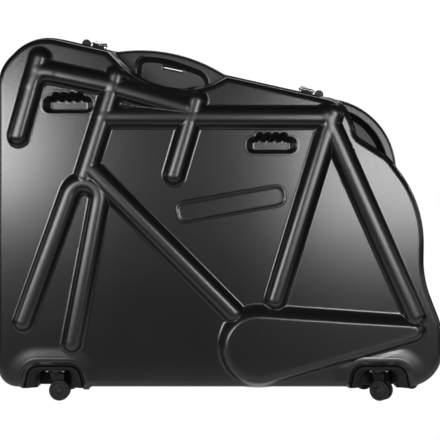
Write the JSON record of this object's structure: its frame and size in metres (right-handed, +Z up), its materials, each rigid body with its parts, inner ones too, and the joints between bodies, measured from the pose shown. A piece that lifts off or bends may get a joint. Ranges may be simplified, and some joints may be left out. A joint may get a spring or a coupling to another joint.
{
  "type": "bike travel case",
  "caption": "Hard-shell clamshell bicycle travel case with raised bike-frame ribs, moulded handles, draw latches and swivel casters.",
  "frame": {"origin": "on the floor, under the middle of the closed case", "axes": "+X along the length towards the tail end, +Y from the front shell to the rear shell, +Z up"},
  "size_m": [1.1863, 0.38, 0.9553],
  "materials": {
    "shell_abs": "satin grained thermoformed sheet",
    "rim_profile": "satin black profile",
    "seal_rubber": "soft black rubber",
    "caster_moulding": "matt black moulding",
    "wheel_tread": "black tread",
    "plain_steel": "zinc plated",
    "dark_steel": "black plated",
    "latch_chrome": "polished plate",
    "lock_black": "gloss black",
    "foam": "convoluted open-cell foam",
    "webbing": "woven webbing",
    "buckle_plastic": "black moulding"
  },
  "bodies": {
    "rear_half": {"rear_shell": "shell_abs", "rear_rim": "rim_profile", "rim_seal": "seal_rubber", "rear_left_caster_housing": "caster_moulding", "rear_left_caster_plate": "dark_steel", "rear_right_caster_housing": "caster_moulding", "rear_right_caster_plate": "dark_steel", "rear_caster_screws": "plain_steel", "left_hinge_rear_leaf": "plain_steel", "left_hinge_pin": "plain_steel", "right_hinge_rear_leaf": "plain_steel", "right_hinge_pin": "plain_steel", "top_left_latch_base": "latch_chrome", "top_right_latch_base": "latch_chrome", "side_left_latch_base": "latch_chrome", "side_right_latch_base": "latch_chrome", "top_left_lock_barrel": "lock_black", "top_right_lock_barrel": "lock_black", "rear_foam_pad": "foam", "rear_left_strap": "webbing", "rear_right_strap": "webbing", "strap_buckles": "buckle_plastic", "strap_anchors": "buckle_plastic"},
    "front_half": {"front_shell": "shell_abs", "front_rim": "rim_profile", "front_left_caster_housing": "caster_moulding", "front_left_caster_plate": "dark_steel", "front_right_caster_housing": "caster_moulding", "front_right_caster_plate": "dark_steel", "front_caster_screws": "plain_steel", "left_hinge_front_leaf": "plain_steel", "right_hinge_front_leaf": "plain_steel", "top_left_latch_keeper": "latch_chrome", "top_right_latch_keeper": "latch_chrome", "side_left_latch_keeper": "latch_chrome", "side_right_latch_keeper": "latch_chrome", "front_foam_pad": "foam"},
    "front_left_swivel": {"front_left_caster_fork": "caster_moulding"},
    "front_left_wheelset": {"front_left_caster_axle": "dark_steel", "front_left_caster_wheels": "wheel_tread"},
    "front_right_swivel": {"front_right_caster_fork": "caster_moulding"},
    "front_right_wheelset": {"front_right_caster_axle": "dark_steel", "front_right_caster_wheels": "wheel_tread"},
    "rear_left_swivel": {"rear_left_caster_fork": "caster_moulding"},
    "rear_left_wheelset": {"rear_left_caster_axle": "dark_steel", "rear_left_caster_wheels": "wheel_tread"},
    "rear_right_swivel": {"rear_right_caster_fork": "caster_moulding"},
    "rear_right_wheelset": {"rear_right_caster_axle": "dark_steel", "rear_right_caster_wheels": "wheel_tread"},
    "top_left_lever": {"top_left_latch_lever": "latch_chrome"},
    "top_left_bail": {"top_left_latch_bail": "latch_chrome"},
    "top_right_lever": {"top_right_latch_lever": "latch_chrome"},
    "top_right_bail": {"top_right_latch_bail": "latch_chrome"},
    "side_left_lever": {"side_left_latch_lever": "latch_chrome"},
    "side_left_bail": {"side_left_latch_bail": "latch_chrome"},
    "side_right_lever": {"side_right_latch_lever": "latch_chrome"},
    "side_right_bail": {"side_right_latch_bail": "latch_chrome"},
    "top_left_lock_turn": {"top_left_lock_core": "lock_black"},
    "top_right_lock_turn": {"top_right_lock_core": "lock_black"}
  },
  "joints": [
    {"name": "lid_hinge", "type": "hinge", "parent": "rear_half", "child": "front_half", "pos_m": [0, 0, 0.0256], "axis": [1, 0, 0], "range_deg": [0, 110]},
    {"name": "front_left_swivel_turn", "type": "hinge", "parent": "front_half", "child": "front_left_swivel", "pos_m": [-0.42799, -0.1, 0.07], "axis": [0, 0, 1], "continuous": true},
    {"name": "front_left_wheel_spin", "type": "hinge", "parent": "front_left_swivel", "child": "front_left_wheelset", "pos_m": [-0.41799, -0.1, 0.027], "axis": [0, 1, 0], "continuous": true},
    {"name": "front_right_swivel_turn", "type": "hinge", "parent": "front_half", "child": "front_right_swivel", "pos_m": [0.41005, -0.1, 0.07], "axis": [0, 0, 1], "continuous": true},
    {"name": "front_right_wheel_spin", "type": "hinge", "parent": "front_right_swivel", "child": "front_right_wheelset", "pos_m": [0.41844, -0.10545, 0.027], "axis": [0.5446, 0.8387, 0], "continuous": true},
    {"name": "rear_left_swivel_turn", "type": "hinge", "parent": "rear_half", "child": "rear_left_swivel", "pos_m": [-0.42799, 0.1, 0.07], "axis": [0, 0, 1], "continuous": true},
    {"name": "rear_left_wheel_spin", "type": "hinge", "parent": "rear_left_swivel", "child": "rear_left_wheelset", "pos_m": [-0.41885, 0.10407, 0.027], "axis": [-0.4067, 0.9135, 0], "continuous": true},
    {"name": "rear_right_swivel_turn", "type": "hinge", "parent": "rear_half", "child": "rear_right_swivel", "pos_m": [0.41005, 0.1, 0.07], "axis": [0, 0, 1], "continuous": true},
    {"name": "rear_right_wheel_spin", "type": "hinge", "parent": "rear_right_swivel", "child": "rear_right_wheelset", "pos_m": [0.40065, 0.10342, 0.027], "axis": [-0.342, -0.9397, 0], "continuous": true},
    {"name": "top_left_lever_turn", "type": "hinge", "parent": "rear_half", "child": "top_left_lever", "pos_m": [-0.32484, 0.007, 0.94132], "axis": [0.975, 0, -0.2224], "range_deg": [0, 110]},
    {"name": "top_left_bail_turn", "type": "hinge", "parent": "top_left_lever", "child": "top_left_bail", "pos_m": [-0.32513, 0.0145, 0.94006], "axis": [0.975, 0, -0.2224], "range_deg": [-130, 0]},
    {"name": "top_right_lever_turn", "type": "hinge", "parent": "rear_half", "child": "top_right_lever", "pos_m": [0.2324, 0.007, 0.82], "axis": [0.976, 0, -0.2179], "range_deg": [0, 110]},
    {"name": "top_right_bail_turn", "type": "hinge", "parent": "top_right_lever", "child": "top_right_bail", "pos_m": [0.23212, 0.0145, 0.81873], "axis": [0.976, 0, -0.2179], "range_deg": [-130, 0]},
    {"name": "side_left_lever_turn", "type": "hinge", "parent": "rear_half", "child": "side_left_lever", "pos_m": [-0.5931, 0.007, 0.49086], "axis": [0, 0, 1], "range_deg": [0, 110]},
    {"name": "side_left_bail_turn", "type": "hinge", "parent": "side_left_lever", "child": "side_left_bail", "pos_m": [-0.5923, 0.0145, 0.49086], "axis": [0, 0, 1], "range_deg": [-130, 0]},
    {"name": "side_right_lever_turn", "type": "hinge", "parent": "rear_half", "child": "side_right_lever", "pos_m": [0.54162, 0.007, 0.44653], "axis": [0.1163, 0, -0.9932], "range_deg": [0, 110]},
    {"name": "side_right_bail_turn", "type": "hinge", "parent": "side_right_lever", "child": "side_right_bail", "pos_m": [0.54082, 0.0145, 0.44644], "axis": [0.1163, 0, -0.9932], "range_deg": [-130, 0]},
    {"name": "top_left_lock_turn_key", "type": "hinge", "parent": "rear_half", "child": "top_left_lock_turn", "pos_m": [-0.3603, 0.004, 0.94326], "axis": [0, 1, 0], "range_deg": [0, 90]},
    {"name": "top_right_lock_turn_key", "type": "hinge", "parent": "rear_half", "child": "top_right_lock_turn", "pos_m": [0.26525, 0.004, 0.80652], "axis": [0, 1, 0], "range_deg": [0, 90]}
  ],
  "couplings": [
    {"joint": "top_left_bail_turn", "follows": "top_left_lever_turn", "ratio": -1},
    {"joint": "top_right_bail_turn", "follows": "top_right_lever_turn", "ratio": -1},
    {"joint": "side_left_bail_turn", "follows": "side_left_lever_turn", "ratio": -1},
    {"joint": "side_right_bail_turn", "follows": "side_right_lever_turn", "ratio": -1}
  ]
}
